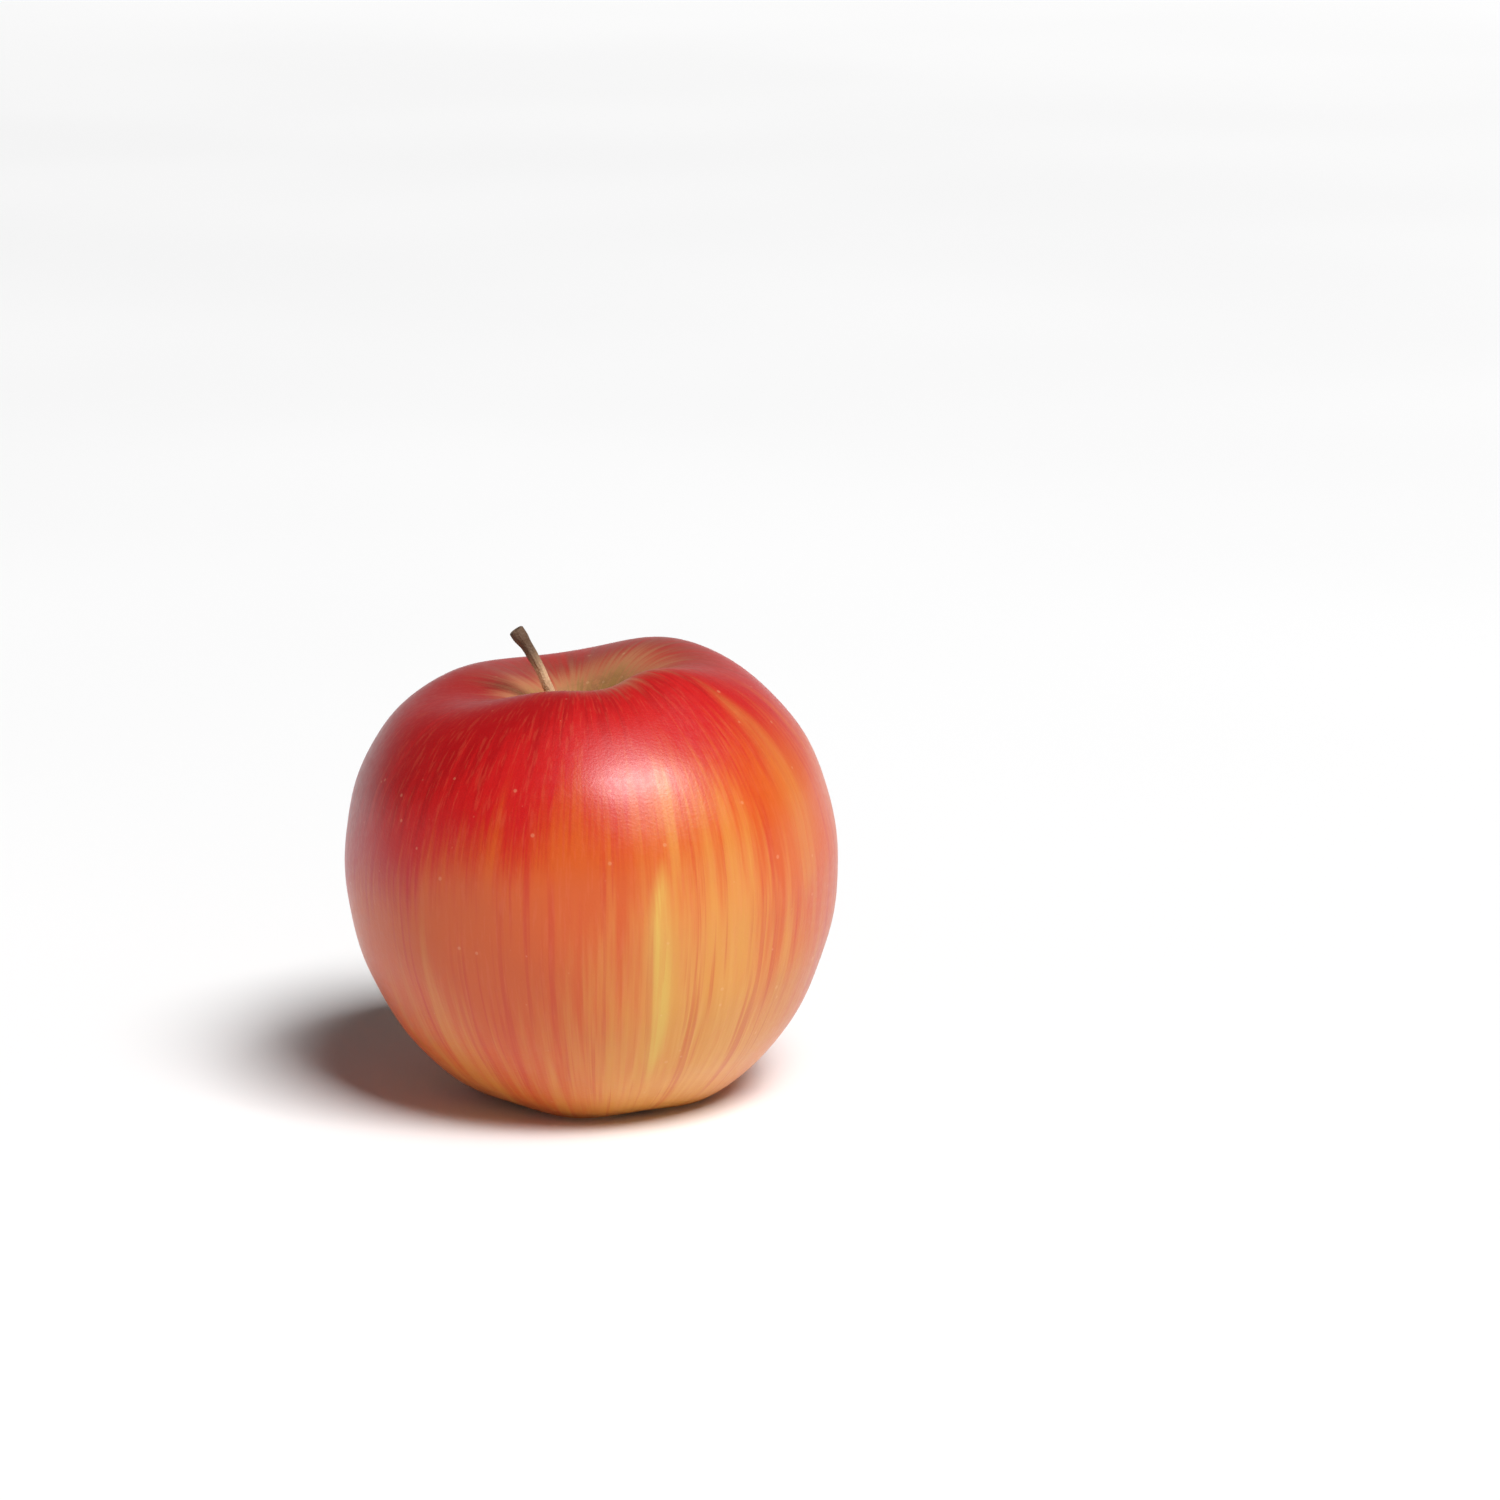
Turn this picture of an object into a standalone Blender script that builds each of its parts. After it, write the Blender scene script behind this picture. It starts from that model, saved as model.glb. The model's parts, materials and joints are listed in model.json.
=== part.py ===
"""An apple, whole and as picked, standing on the lobes round its calyx.

Metres, +Z up. The origin is on the surface that the apple stands on, under the
middle of the fruit's box. The fruit is one grown piece: skin and flesh. The stem
stands in the cavity on top. Five dried sepals close over the dried stamens in the
basin underneath.
"""

import math

import bmesh
import bpy
import numpy as np

# ---- the fruit's plain turned form ----
FRUIT_RADIUS = 0.0366  # at mid height
FRUIT_HALF_HEIGHT = 0.0366  # from the middle to the top, before the cavity is pressed in
FULLNESS = 2.65  # 2 is an ellipsoid, and more gives squarer shoulders
TAPER = 0.054  # the share by which the top is wider, and the base narrower

# ---- the stem cavity: a wide dish with a narrow funnel in its middle ----
DISH_DEPTH = 0.0075
DISH_WIDTH = 0.0170
DISH_CURVE = 1.78
FUNNEL_DEPTH = 0.0090
FUNNEL_WIDTH = 0.0050
FUNNEL_CURVE = 1.6
CAVITY_SHIFT = 0.0030  # how far the cavity is off centre, towards -X
SHIFT_REACH = 0.0200  # radius over which that shift dies away
RIM_RADIUS = 0.0170  # of the cavity's rounded rim
RIM_SLOPE_X = -0.0013  # the rim is this much higher towards +X
RIM_SLOPE_Y = 0.0035

# ---- the lip: a narrow rise close to the cavity, on one shoulder ----
LIP_HEADING = math.radians(-42.8)
LIP_RISE = 0.0023
LIP_RADIUS = 0.0126
LIP_SHARPNESS = 6.7

# ---- the calyx basin underneath ----
BASIN_DEPTH = 0.0095
BASIN_WIDTH = 0.0068
BASIN_CURVE = 1.7
FOOT_RADIUS = 0.0135  # of the ring of lobes that the apple stands on
FOOT_FLAT = 0.0005  # height of lobe that is pressed flat where it rests

# ---- the five lobes, one over each seed chamber ----
# heading in degrees, then how far it swells at the shoulder, at the foot and at the side
LOBES = (
    (-31.5, 0.0026, 0.0015, 0.0004),
    (40.5, 0.0017, 0.0015, 0.0000),
    (112.5, -0.0050, 0.0015, 0.0004),
    (184.5, -0.0034, 0.0015, 0.0024),
    (256.5, 0.0029, 0.0015, 0.0001),
)
SHOULDER_SHARPNESS = 4.0
FOOT_SHARPNESS = 7.0
CHEEK_SHARPNESS = 2.5

# ---- the stem ----
STEM_RISE = 0.0178  # from the cavity's floor to the stem's tip
STEM_REACH = 0.0101  # sideways, over the same rise
STEM_HEADING = math.radians(178.0)
STEM_FOOT = 0.0012  # height over which the stem stands upright before it leans
STEM_RADIUS = 0.00090
STEM_ROOT_RADIUS = 0.00120
STEM_SEAT_MARGIN = 0.0005  # flat skin round the root, on the cavity's floor
STEM_KNOB_RADIUS = 0.00140
STEM_KNOB_LENGTH = 0.0024

# ---- the dried calyx ----
SEPAL_RING_RADIUS = 0.0036
SEPAL_SPREAD = 0.75  # the share of the ring that the sepals' bases fill
SEPAL_THICKNESS = 0.0005
SEPAL_HEADROOM = 0.0014  # from the sepals' tips to the surface that the apple stands on
SEPAL_CURL = 0.0016  # how far a sepal's middle leans in over the calyx
STAMEN_COUNT = 7
STAMEN_RING_RADIUS = 0.0010
STAMEN_LENGTH = 0.0022
STAMEN_RADIUS = 0.00025
STAMEN_DISC_INSET = 0.0012  # from the sepals' ring in to the disc's edge
STAMEN_DISC_THICKNESS = 0.0005
CALYX_SEAT_MARGIN = 0.0008  # flat skin round the calyx, on the basin's floor

CLEARANCE = 0.0003  # between pieces that grow against each other

# ---- what fits to what ----
CAVITY_SEAT = STEM_ROOT_RADIUS + STEM_SEAT_MARGIN
BASIN_SEAT = SEPAL_RING_RADIUS + CALYX_SEAT_MARGIN
SEPAL_WIDTH = SEPAL_SPREAD * 2.0 * math.pi * SEPAL_RING_RADIUS / len(LOBES)
STAMEN_DISC_RADIUS = SEPAL_RING_RADIUS - STAMEN_DISC_INSET

# ---- fineness of the meshes ----
FRUIT_SEGMENTS = 72
FRUIT_RINGS = 42
POLE_CROWDING = 0.24  # draws the rings towards the cavity and the basin
STEM_STEPS = 15
SEPAL_STATIONS = 4
DISC_SEGMENTS = 24
SPIKE_SEGMENTS = 6


def collection_named(name):
    """A new collection in the scene."""
    collection = bpy.data.collections.new(name)
    bpy.context.scene.collection.children.link(collection)
    return collection


def material_named(name, colour, roughness):
    """A Principled material with one colour, for a piece that isn't metal."""
    material = bpy.data.materials.new(name)
    material.use_nodes = True
    shader = material.node_tree.nodes["Principled BSDF"]
    shader.inputs["Base Color"].default_value = (*colour, 1.0)
    shader.inputs["Roughness"].default_value = roughness
    shader.inputs["Metallic"].default_value = 0.0
    material.diffuse_color = (*colour, 1.0)
    return material


def add_piece(name, data, material, collection):
    """An object that holds the given mesh or curve, with its material."""
    piece = bpy.data.objects.new(name, data)
    data.materials.append(material)
    collection.objects.link(piece)
    return piece


def mesh_from(name, solid):
    """A smooth-shaded mesh from a bmesh."""
    mesh = bpy.data.meshes.new(name)
    solid.to_mesh(mesh)
    solid.free()
    mesh.shade_smooth()
    return mesh


# ---------------------------------------------------------------- the fruit


def ridge(heading, crest, sharpness):
    """1 at the crest's heading, and falling to either side, faster when it is sharper."""
    return np.exp(sharpness * (np.cos(heading - crest) - 1.0))


def lobe_sum(heading, column, sharpness):
    """One of the lobes' swellings, summed over the five lobes at each heading."""
    total = np.zeros_like(heading)
    for lobe in LOBES:
        total += lobe[column] * ridge(heading, math.radians(lobe[0]), sharpness)
    return total


def swell(radius, crest):
    """0 on the axis, 1 at the crest's radius, and dying away outside it."""
    share = (radius / crest) ** 2
    return share * np.exp(1.0 - share)


def pit(radius, seat, width, curve):
    """1 over a flat seat, then falling smoothly to 0 over the stated width."""
    outside = np.maximum(radius - seat, 0.0)
    return np.exp(-((outside / width) ** curve))


def skin(polar, heading):
    """Points on the skin, from the angle off the stem's axis and the heading round it.

    A superellipse is turned round the core, with a taper. The cavity and the basin are
    pressed into its two ends. The lobes then swell at the shoulder, foot and side, and
    a lip rises beside the cavity.
    """
    across = np.sin(polar)
    along = np.cos(polar)
    near_top = 1.0 - (1.0 - np.maximum(along, 0.0)) ** 2
    near_base = 1.0 - (1.0 - np.maximum(-along, 0.0)) ** 2

    radius = FRUIT_RADIUS * across * (1.0 + TAPER * along)
    height = FRUIT_HALF_HEIGHT * np.sign(along) * np.sqrt(1.0 - across**FULLNESS)
    cavity = DISH_DEPTH * pit(radius, CAVITY_SEAT, DISH_WIDTH, DISH_CURVE)
    cavity += FUNNEL_DEPTH * pit(radius, CAVITY_SEAT, FUNNEL_WIDTH, FUNNEL_CURVE)
    basin = BASIN_DEPTH * pit(radius, BASIN_SEAT, BASIN_WIDTH, BASIN_CURVE)
    slope = RIM_SLOPE_X * np.cos(heading) + RIM_SLOPE_Y * np.sin(heading)

    lip = LIP_RISE * ridge(heading, LIP_HEADING, LIP_SHARPNESS)

    rim = lobe_sum(heading, 1, SHOULDER_SHARPNESS) * swell(radius, RIM_RADIUS)
    rim += lip * swell(radius, LIP_RADIUS)
    rim += slope * swell(radius, 1.5 * RIM_RADIUS)
    foot = lobe_sum(heading, 2, FOOT_SHARPNESS) * swell(radius, FOOT_RADIUS)
    height += (rim - cavity) * near_top - (foot - basin) * near_base

    shift = CAVITY_SHIFT * np.exp(-((radius / SHIFT_REACH) ** 2)) * near_top
    radius = radius + lobe_sum(heading, 3, CHEEK_SHARPNESS) * across**2
    x = radius * np.cos(heading) - shift
    y = radius * np.sin(heading)
    return np.stack([x, y, height], axis=-1)


def fruit_mesh():
    """The fruit, shaped from a ball, and the shift that stands it over the origin."""
    solid = bmesh.new()
    bmesh.ops.create_uvsphere(
        solid, u_segments=FRUIT_SEGMENTS, v_segments=FRUIT_RINGS, radius=1.0
    )
    mesh = mesh_from("fruit", solid)
    ball = np.empty(len(mesh.vertices) * 3)
    mesh.vertices.foreach_get("co", ball)
    x, y, z = ball.reshape(-1, 3).T

    polar = np.arctan2(np.hypot(x, y), z)
    polar -= POLE_CROWDING * np.sin(2.0 * polar)
    points = skin(polar, np.arctan2(y, x))

    low = points.min(axis=0)
    high = points.max(axis=0)
    shift = -(low + high) / 2
    shift[2] = -low[2] - FOOT_FLAT
    points += shift
    points[:, 2] = np.maximum(points[:, 2], 0.0)
    mesh.vertices.foreach_set("co", points.ravel())
    mesh.update()
    return mesh, shift


def pole(polar, shift):
    """Where the core meets the skin: 0 is the cavity's floor, pi is the basin's."""
    return skin(np.array([polar]), np.zeros(1))[0] + shift


# ---------------------------------------------------------------- the stem


def stem_curve():
    """A leaning stem, from a flared root to the knob where it parted from the twig."""
    curve = bpy.data.curves.new("stem", "CURVE")
    curve.dimensions = "3D"
    curve.bevel_depth = STEM_RADIUS
    curve.bevel_resolution = 4
    curve.use_fill_caps = True
    path = curve.splines.new("POLY")
    path.points.add(STEM_STEPS)
    for step, point in enumerate(path.points):
        height = STEM_RISE * step / STEM_STEPS
        lean = max(height - STEM_FOOT, 0.0) / (STEM_RISE - STEM_FOOT)
        out = STEM_REACH * lean**0.9
        root = math.exp(-height / STEM_FOOT)
        below_knob = STEM_RISE - STEM_KNOB_LENGTH - height
        knob = 1.0 / (1.0 + math.exp(4.0 * below_knob / STEM_KNOB_LENGTH))
        radius = STEM_RADIUS
        radius += (STEM_ROOT_RADIUS - STEM_RADIUS) * root
        radius += (STEM_KNOB_RADIUS - STEM_RADIUS) * knob
        x = out * math.cos(STEM_HEADING)
        y = out * math.sin(STEM_HEADING)
        point.co = (x, y, height, 1.0)
        point.radius = radius / STEM_RADIUS
    return curve


# ---------------------------------------------------------------- the calyx


def sepal_mesh(length):
    """One sepal's cage: a tapering blade that hangs down from its base at the origin.

    +X points away from the calyx's middle. The blade leans in, and its tip turns out.
    """
    blade = bmesh.new()
    bmesh.ops.create_grid(blade, x_segments=2, y_segments=SEPAL_STATIONS, size=0.5)
    for vertex in blade.verts:
        side = vertex.co.x
        along = vertex.co.y + 0.5
        lean = math.sin(0.75 * math.pi * along)
        vertex.co.x = -SEPAL_CURL * lean - 0.3 * SEPAL_WIDTH * side**2
        vertex.co.y = SEPAL_WIDTH * (1.0 - 0.8 * along) * side
        vertex.co.z = -length * along
    return mesh_from("sepal", blade)


def add_sepals(material, collection, calyx):
    """Five sepals in a ring, each a thickened and softened blade."""
    length = calyx.location.z - CLEARANCE - SEPAL_HEADROOM
    for number in range(len(LOBES)):
        blade = sepal_mesh(length)
        sepal = add_piece(f"sepal_{number + 1}", blade, material, collection)
        thicken = sepal.modifiers.new("thickness", "SOLIDIFY")
        thicken.thickness = SEPAL_THICKNESS
        thicken.offset = 0.0
        soften = sepal.modifiers.new("soft", "SUBSURF")
        soften.levels = 1
        soften.render_levels = 1
        turn = 2.0 * math.pi * number / len(LOBES)
        sepal.parent = calyx
        sepal.rotation_euler.z = turn
        sepal.location = (
            SEPAL_RING_RADIUS * math.cos(turn),
            SEPAL_RING_RADIUS * math.sin(turn),
            -CLEARANCE,
        )


def disc_mesh():
    """The disc that the dried stamens stand on, with its upper face at the origin."""
    disc = bmesh.new()
    bmesh.ops.create_cone(
        disc,
        cap_ends=True,
        segments=DISC_SEGMENTS,
        radius1=STAMEN_DISC_RADIUS,
        radius2=STAMEN_DISC_RADIUS,
        depth=STAMEN_DISC_THICKNESS,
    )
    bmesh.ops.translate(disc, verts=disc.verts, vec=(0, 0, -STAMEN_DISC_THICKNESS / 2))
    return mesh_from("dried_stamens", disc)


def spike_mesh():
    """One stamen that hangs from inside the disc."""
    length = STAMEN_LENGTH + STAMEN_DISC_THICKNESS / 2
    spike = bmesh.new()
    bmesh.ops.create_cone(
        spike,
        cap_ends=True,
        segments=SPIKE_SEGMENTS,
        radius1=STAMEN_RADIUS / 2,
        radius2=STAMEN_RADIUS,
        depth=length,
    )
    middle = -STAMEN_DISC_THICKNESS / 2 - length / 2
    bmesh.ops.translate(spike, verts=spike.verts, vec=(0, 0, middle))
    return mesh_from("spike", spike)


def add_stamens(material, collection, helpers, calyx):
    """The disc, joined with a ring of dried stamens and the style in their middle."""
    disc = add_piece("dried_stamens", disc_mesh(), material, collection)
    disc.parent = calyx
    disc.location.z = -CLEARANCE
    for number in range(STAMEN_COUNT + 1):
        spike = add_piece(f"spike_{number}", spike_mesh(), material, helpers)
        spike.hide_render = True
        spike.display_type = "WIRE"
        spike.parent = calyx
        turn = 2.0 * math.pi * number / STAMEN_COUNT
        ring = STAMEN_RING_RADIUS if number < STAMEN_COUNT else 0.0
        spike.location = (ring * math.cos(turn), ring * math.sin(turn), -CLEARANCE)
    join = disc.modifiers.new("spikes", "BOOLEAN")
    join.operation = "UNION"
    join.solver = "EXACT"
    join.operand_type = "COLLECTION"
    join.collection = helpers


def main():
    for old in list(bpy.data.objects):
        bpy.data.objects.remove(old)
    apple = collection_named("apple")
    helpers = collection_named("stamen_spikes")

    mesh, shift = fruit_mesh()
    skin_red = material_named("skin", (0.62, 0.11, 0.06), 0.3)
    add_piece("fruit", mesh, skin_red, apple)

    bark = material_named("stem", (0.16, 0.09, 0.04), 0.65)
    stem = add_piece("stem", stem_curve(), bark, apple)
    stem.location = pole(0.0, shift)
    stem.location.z += CLEARANCE

    calyx = bpy.data.objects.new("calyx", None)
    calyx.location = pole(math.pi, shift)
    apple.objects.link(calyx)
    husk = material_named("sepal", (0.17, 0.12, 0.06), 0.85)
    add_sepals(husk, apple, calyx)
    threads = material_named("stamen", (0.09, 0.06, 0.03), 0.85)
    add_stamens(threads, apple, helpers, calyx)


main()
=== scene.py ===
# %% [markdown]
# # An apple, as picked
#
# The real thing is a fruit of one piece, a dry stem, and the dried flower at its
# base. A sculptor would start from a ball and push it about by hand. This lesson
# works the form out as a formula instead: then the lobes, the cavity and the basin
# are a few plain sizes, and every streak of colour can follow the skin exactly.
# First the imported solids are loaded, because every piece takes its place from them.

# %% Load the frame
import json

import bpy
import numpy as np
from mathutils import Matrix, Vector

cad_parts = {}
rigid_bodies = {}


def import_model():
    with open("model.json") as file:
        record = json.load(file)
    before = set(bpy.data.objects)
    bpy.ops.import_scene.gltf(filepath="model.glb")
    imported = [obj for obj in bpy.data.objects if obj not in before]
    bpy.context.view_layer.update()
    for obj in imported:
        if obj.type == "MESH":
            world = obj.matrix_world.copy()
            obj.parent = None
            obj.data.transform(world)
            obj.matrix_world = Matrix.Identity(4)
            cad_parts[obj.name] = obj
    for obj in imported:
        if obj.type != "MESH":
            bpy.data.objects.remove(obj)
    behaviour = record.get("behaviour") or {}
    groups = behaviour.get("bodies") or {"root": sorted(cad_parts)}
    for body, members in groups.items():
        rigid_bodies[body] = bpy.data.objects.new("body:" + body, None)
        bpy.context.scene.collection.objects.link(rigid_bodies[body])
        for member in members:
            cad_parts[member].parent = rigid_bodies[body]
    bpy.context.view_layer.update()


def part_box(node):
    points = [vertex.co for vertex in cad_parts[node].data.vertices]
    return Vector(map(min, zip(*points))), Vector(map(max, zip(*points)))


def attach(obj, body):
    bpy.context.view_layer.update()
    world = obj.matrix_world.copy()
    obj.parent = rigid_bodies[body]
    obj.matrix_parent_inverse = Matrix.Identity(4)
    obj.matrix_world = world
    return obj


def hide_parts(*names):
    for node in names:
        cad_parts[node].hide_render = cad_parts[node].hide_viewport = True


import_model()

fruit_low, fruit_high = (np.array(corner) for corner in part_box("fruit"))
print("fruit, width, depth and height in mm:", np.round((fruit_high - fruit_low) * 1000, 1))

# %% [markdown]
# ## The form of the fruit
#
# An apple's plain form is a squarish ball that narrows towards its base. A lathe
# profile would give that, but an apple isn't round: it grew over five seed chambers,
# and each one lifts the skin into a lobe. So the surface is a function of two
# parameters. `polar` is the angle off the stem, and `heading` goes round the core.
# The profile, the two hollows and the lobes are added up, one term for each.

# %% Sizes of the fruit
RADIUS = 0.0366
HALF_HEIGHT = 0.0366
FULLNESS = 2.65  # 2 is an ellipsoid, and more gives squarer shoulders
TAPER = 0.054  # the share by which the top is wider, and the base narrower

CAVITY_SEAT = 0.0017  # radius of the flat skin round the stem's root
DISH_DEPTH, DISH_WIDTH, DISH_CURVE = 0.0075, 0.0170, 1.78
FUNNEL_DEPTH, FUNNEL_WIDTH, FUNNEL_CURVE = 0.0090, 0.0050, 1.6
CAVITY_SHIFT = 0.0030  # how far the cavity is off centre, towards -X
SHIFT_REACH = 0.0200

BASIN_SEAT = 0.0044  # radius of the flat skin round the calyx
BASIN_DEPTH, BASIN_WIDTH, BASIN_CURVE = 0.0095, 0.0068, 1.7
FOOT_RADIUS = 0.0135
FOOT_FLAT = 0.0005  # height of lobe that is pressed flat where it rests

RIM_RADIUS = 0.0170  # of the cavity's rounded rim
RIM_SLOPE_X, RIM_SLOPE_Y = -0.0013, 0.0035
SLOPE_RADIUS = 1.5 * RIM_RADIUS  # where the rim's slope is at its full height
LIP_HEADING = np.radians(-42.8)  # of a narrow rise close to the cavity
LIP_RISE, LIP_RADIUS, LIP_SHARPNESS = 0.0023, 0.0126, 6.7
SHOULDER_SHARPNESS, FOOT_SHARPNESS, CHEEK_SHARPNESS = 4.0, 7.0, 2.5

# heading in degrees, then the swelling at the shoulder, at the foot and at the side
LOBES = (
    (-31.5, 0.0026, 0.0015, 0.0004),
    (40.5, 0.0017, 0.0015, 0.0000),
    (112.5, -0.0050, 0.0015, 0.0004),
    (184.5, -0.0034, 0.0015, 0.0024),
    (256.5, 0.0029, 0.0015, 0.0001),
)


# %% [markdown]
# The hollows at the two ends are one shape at different sizes: full depth over a
# small seat, then a smooth rise to nothing. The lobes are ridges round the heading,
# and a narrow lip beside the cavity is one more. Each term is faded towards the
# other end of the fruit, so that none makes a crease at the widest level, where a
# glossy skin would show it.

# %% The terms of the formula
def hollow(radius, seat, width, curve):
    """1 over the seat, then e to the minus (distance past the seat / width)^curve."""
    return np.exp(-((np.maximum(radius - seat, 0.0) / width) ** curve))


def swelling(radius, crest):
    """Zero on the axis and 1 at the crest: share times e^(1 - share), share = (r / crest)^2."""
    share = (radius / crest) ** 2
    return share * np.exp(1.0 - share)


def ridge(heading, crest, sharpness):
    """1 at the crest's heading, falling as e^(sharpness (cos(angle to the crest) - 1))."""
    return np.exp(sharpness * (np.cos(heading - crest) - 1.0))


def lobes(heading, column, sharpness):
    """The sum over the lobes of each one's size times its ridge."""
    total = np.zeros_like(heading)
    for lobe in LOBES:
        total += lobe[column] * ridge(heading, np.radians(lobe[0]), sharpness)
    return total


def fruit_skin(polar, heading):
    """Points on the skin: a tapered superellipse, its hollows, its lobes and its slope."""
    across, along = np.sin(polar), np.cos(polar)
    near_top = 1.0 - (1.0 - np.maximum(along, 0.0)) ** 2
    near_base = 1.0 - (1.0 - np.maximum(-along, 0.0)) ** 2
    radius = RADIUS * across * (1.0 + TAPER * along)
    height = HALF_HEIGHT * np.sign(along) * np.sqrt(1.0 - np.abs(across) ** FULLNESS)

    cavity = DISH_DEPTH * hollow(radius, CAVITY_SEAT, DISH_WIDTH, DISH_CURVE)
    cavity += FUNNEL_DEPTH * hollow(radius, CAVITY_SEAT, FUNNEL_WIDTH, FUNNEL_CURVE)
    basin = BASIN_DEPTH * hollow(radius, BASIN_SEAT, BASIN_WIDTH, BASIN_CURVE)
    rim = lobes(heading, 1, SHOULDER_SHARPNESS) * swelling(radius, RIM_RADIUS)
    lip = ridge(heading, LIP_HEADING, LIP_SHARPNESS)
    rim += LIP_RISE * lip * swelling(radius, LIP_RADIUS)
    slope = RIM_SLOPE_X * np.cos(heading) + RIM_SLOPE_Y * np.sin(heading)
    rim += slope * swelling(radius, SLOPE_RADIUS)
    foot = lobes(heading, 2, FOOT_SHARPNESS) * swelling(radius, FOOT_RADIUS)
    height += (rim - cavity) * near_top - (foot - basin) * near_base

    off_centre = CAVITY_SHIFT * np.exp(-((radius / SHIFT_REACH) ** 2)) * near_top
    radius = radius + lobes(heading, 3, CHEEK_SHARPNESS) * across**2
    return np.stack([radius * np.cos(heading) - off_centre, radius * np.sin(heading), height], -1)


# %% [markdown]
# ## From a grid of points to a closed piece
#
# Every piece here is a closed skin: rows of points from one end to the other, where
# each row is a ring and the two end rows shrink to a point. Joining such a grid is
# always the same work, so one function does it, for the fruit and for a hair-thin
# stamen alike. It finds the enclosed volume from the faces, and if that is negative
# the faces look inwards, so it turns them round.

# %% Rings into a mesh
def ring_corners(rows, columns):
    """Faces of a grid whose end rows are single points, and each corner's row and column.

    Point 0 is the first end, then come the inner rings, and the last point is the far end.
    """
    row, column = np.meshgrid(np.arange(1, rows - 2), np.arange(columns), indexing="ij")
    quad_row = np.stack([row, row + 1, row + 1, row], -1).reshape(-1, 4)
    quad_column = np.stack([column, column, column + 1, column + 1], -1).reshape(-1, 4)
    around = np.arange(columns)
    fan = np.stack([around, around, around + 1], -1)
    first = np.tile([0, 1, 1], (columns, 1))
    last = np.tile([rows - 2, rows - 1, rows - 2], (columns, 1))
    return (quad_row, quad_column), (np.concatenate([first, last]), np.concatenate([fan, fan]))


def point_numbers(row, column, rows, columns):
    """The number of each corner's point, with the end rows' points shared."""
    numbers = 1 + (row - 1) * columns + column % columns
    numbers = np.where(row == 0, 0, numbers)
    return np.where(row == rows - 1, 1 + (rows - 2) * columns, numbers)


def flat_points(grid):
    """A grid's values in the order of the mesh's points, with each end row averaged."""
    inner = grid[1:-1].reshape(-1, grid.shape[-1])
    return np.concatenate([grid[:1].mean(1), inner, grid[-1:].mean(1)])


def closed_piece(name, grids, layers, body="root"):
    """One object from one or more grids of rings, with named values carried at its points."""
    points, faces, uvs, start = [], [], [], 0
    for grid in grids:
        rows, columns = grid.shape[:2]
        where = flat_points(grid)
        groups = ring_corners(rows, columns)
        numbered = [point_numbers(*group, rows, columns) for group in groups]
        corner = where[numbered[0]]
        volume = np.einsum("ij,ij->", corner[:, 0], np.cross(corner[:, 1], corner[:, 2]))
        volume += np.einsum("ij,ij->", corner[:, 0], np.cross(corner[:, 2], corner[:, 3]))
        turn = slice(None) if volume > 0 else slice(None, None, -1)
        for number, (row, column) in zip(numbered, groups):
            uv = np.stack([column / columns, 1.0 - row / (rows - 1)], -1)
            faces += (number + start)[:, turn].tolist()
            uvs.append(uv[:, turn].reshape(-1, 2))
        points.append(where)
        start += len(where)
    mesh = bpy.data.meshes.new(name)
    mesh.from_pydata(np.concatenate(points), [], faces)
    mesh.uv_layers.new(name="OFBake").uv.foreach_set("vector", np.concatenate(uvs).ravel())
    for layer, values in layers.items():
        flat = np.concatenate([flat_points(grid) for grid in values]).astype(np.float32)
        kind = "FLOAT" if flat.shape[1] == 1 else "FLOAT_VECTOR"
        slot = "value" if kind == "FLOAT" else "vector"
        mesh.attributes.new(layer, kind, "POINT").data.foreach_set(slot, flat.ravel())
    mesh.shade_smooth()
    piece = bpy.data.objects.new(name, mesh)
    bpy.context.scene.collection.objects.link(piece)
    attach(piece, body)
    print(f"{name}: {len(mesh.vertices)} points, {len(mesh.polygons)} faces")
    return piece


# %% [markdown]
# ## The fruit's skin
#
# The rings stand closer together in the cavity and the basin, where the skin bends
# most. Real skin also isn't as even as a formula: cells under it swell a little more
# here and less there. Three slow waves, each about a tenth of a millimetre high, give
# the highlight the slight waver that it has on a real apple. The whole is then moved
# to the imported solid's place, and the lobes' feet are pressed flat where it rests.

# %% Grow the fruit
ROWS, COLUMNS = 241, 360
POLE_CROWDING = 0.24  # draws the rings towards the cavity and the basin
# height of each wave, waves round the fruit, waves down it, start, and fade to the ends
WAVER = (
    (0.00011, 5.0, 4.0, 0.0, 2.0, 2),
    (0.00008, 11.0, -7.0, 1.3, 1.0, 4),
    (0.00006, 3.0, 19.0, 0.6, 1.0, 2),
)

row, column = np.meshgrid(np.arange(ROWS), np.arange(COLUMNS), indexing="ij")
polar = np.pi * row / (ROWS - 1)
polar = np.clip(polar - POLE_CROWDING * np.sin(2.0 * polar), 0.0, np.pi)
heading = 2.0 * np.pi * column / COLUMNS + np.pi / 2.0

skin = fruit_skin(polar, heading)
waver = np.zeros_like(polar)
for size, around, down, start, doubling, power in WAVER:
    wave = np.sin(around * heading + down * polar + start)
    waver += size * wave * np.sin(doubling * polar) ** power
outward = np.stack([np.cos(heading), np.sin(heading), np.cos(polar)], -1)
skin += waver[..., None] * outward

low, high = skin.reshape(-1, 3).min(0), skin.reshape(-1, 3).max(0)
place = (fruit_low + fruit_high) / 2.0 - (low + high) / 2.0
place[2] = -low[2] - FOOT_FLAT
skin += place
skin[..., 2] = np.maximum(skin[..., 2], fruit_low[2])
print("the fruit stands", round(float(skin[..., 2].max()) * 1000, 1), "mm high")

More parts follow.
